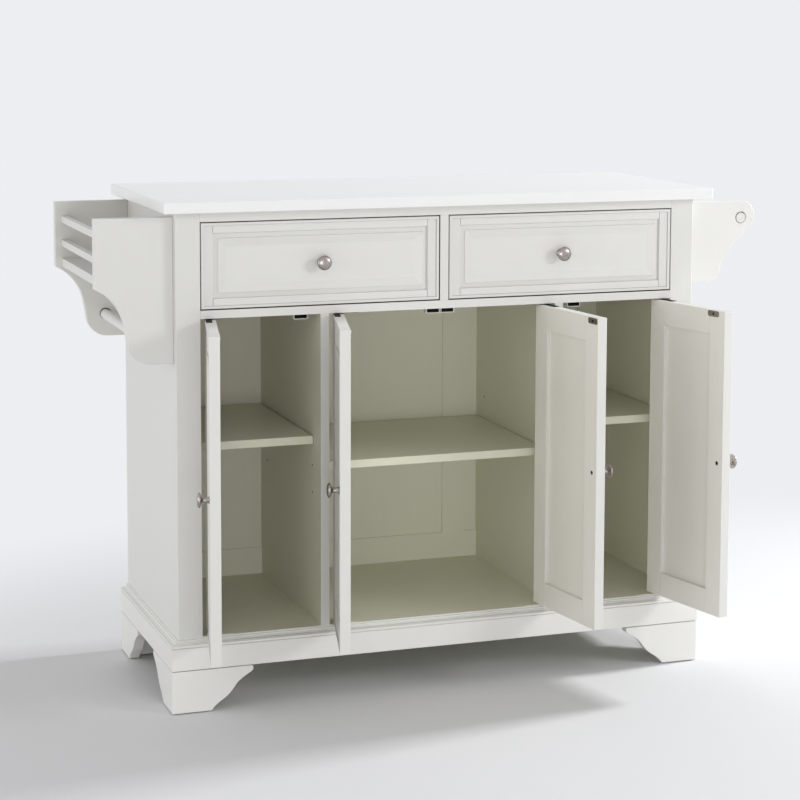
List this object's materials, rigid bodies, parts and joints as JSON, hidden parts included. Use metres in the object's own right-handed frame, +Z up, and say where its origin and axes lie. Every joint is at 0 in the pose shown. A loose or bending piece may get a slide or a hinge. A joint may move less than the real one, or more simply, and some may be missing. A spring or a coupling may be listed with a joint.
{
  "type": "kitchen island",
  "caption": "Off-white kitchen island: flat worktop, drawers over framed-panel doors, shelved cupboards, bracket feet, a spice rack on one end and a towel bar on the other.",
  "frame": {"origin": "on the floor, under the middle of the whole island as it stands at rest, drawers shut and doors open", "axes": "+X to the right as seen from the front, +Y from front to back, +Z up"},
  "size_m": [1.2804, 0.61, 0.914],
  "materials": {
    "painted_wood": "satin off-white paint",
    "inner_paint": "satin off-white paint",
    "shelf_paint": "satin off-white paint",
    "brushed_nickel": "brushed nickel",
    "black_steel": "black",
    "zinc": "zinc plated",
    "catch_housing": "matte, the magnet in it black",
    "glide": "matte"
  },
  "bodies": {
    "carcass": {"back_frame": "inner_paint", "back_panels": "inner_paint", "base_board_back": "inner_paint", "base_board_front": "painted_wood", "base_boards_side": "painted_wood", "base_moulding": "painted_wood", "cabinet_floor": "inner_paint", "centre_shelf": "shelf_paint", "drawer_divider": "inner_paint", "drawer_rail": "painted_wood", "drawer_runners": "inner_paint", "fixed_hinge_leaves": "black_steel", "foot_back_left": "painted_wood", "foot_back_right": "painted_wood", "foot_front_left": "painted_wood", "foot_front_right": "painted_wood", "foot_glides": "glide", "front_post_left": "painted_wood", "front_post_right": "painted_wood", "magnetic_catches": "catch_housing", "partition_left": "inner_paint", "partition_right": "inner_paint", "shelf_supports": "zinc", "side_panel_left": "painted_wood", "side_panel_right": "painted_wood", "side_shelves": "shelf_paint", "spice_rack_back_panel": "painted_wood", "spice_rack_bar": "painted_wood", "spice_rack_front_panel": "painted_wood", "spice_rack_rails": "painted_wood", "spice_rack_tray": "painted_wood", "top_front_rail": "painted_wood", "top_slab": "painted_wood", "towel_rail_back_bracket": "painted_wood", "towel_rail_bar": "painted_wood", "towel_rail_front_bracket": "painted_wood"},
    "drawer_left": {"drawer_left_front_frame": "painted_wood", "drawer_left_front_panel": "painted_wood", "drawer_left_box": "inner_paint", "drawer_left_knob": "brushed_nickel"},
    "drawer_right": {"drawer_right_front_frame": "painted_wood", "drawer_right_front_panel": "painted_wood", "drawer_right_box": "inner_paint", "drawer_right_knob": "brushed_nickel"},
    "door_left": {"door_left_frame": "painted_wood", "door_left_panel": "painted_wood", "door_left_knob_and_strike": "brushed_nickel", "door_left_hinge_leaves": "black_steel"},
    "door_centre_left": {"door_centre_left_frame": "painted_wood", "door_centre_left_panel": "painted_wood", "door_centre_left_knob_and_strike": "brushed_nickel", "door_centre_left_hinge_leaves": "black_steel"},
    "door_centre_right": {"door_centre_right_frame": "painted_wood", "door_centre_right_panel": "painted_wood", "door_centre_right_knob_and_strike": "brushed_nickel", "door_centre_right_hinge_leaves": "black_steel"},
    "door_right": {"door_right_frame": "painted_wood", "door_right_panel": "painted_wood", "door_right_knob_and_strike": "brushed_nickel", "door_right_hinge_leaves": "black_steel"}
  },
  "joints": [
    {"name": "drawer_left_slide", "type": "slide", "parent": "carcass", "child": "drawer_left", "axis": [0, -1, 0], "range_m": [0, 0.28]},
    {"name": "drawer_right_slide", "type": "slide", "parent": "carcass", "child": "drawer_right", "axis": [0, -1, 0], "range_m": [0, 0.28]},
    {"name": "door_left_hinge", "type": "hinge", "parent": "carcass", "child": "door_left", "pos_m": [-0.44, -0.10248, 0.4195], "axis": [0, 0, 1], "range_deg": [-5.5, 102.5]},
    {"name": "door_centre_left_hinge", "type": "hinge", "parent": "carcass", "child": "door_centre_left", "pos_m": [-0.2035, -0.10248, 0.4195], "axis": [0, 0, 1], "range_deg": [-3.6, 104.4]},
    {"name": "door_centre_right_hinge", "type": "hinge", "parent": "carcass", "child": "door_centre_right", "pos_m": [0.2035, -0.10248, 0.4195], "axis": [0, 0, 1], "range_deg": [-97.6, 10.4]},
    {"name": "door_right_hinge", "type": "hinge", "parent": "carcass", "child": "door_right", "pos_m": [0.44, -0.10248, 0.4195], "axis": [0, 0, 1], "range_deg": [-102, 6]}
  ]
}
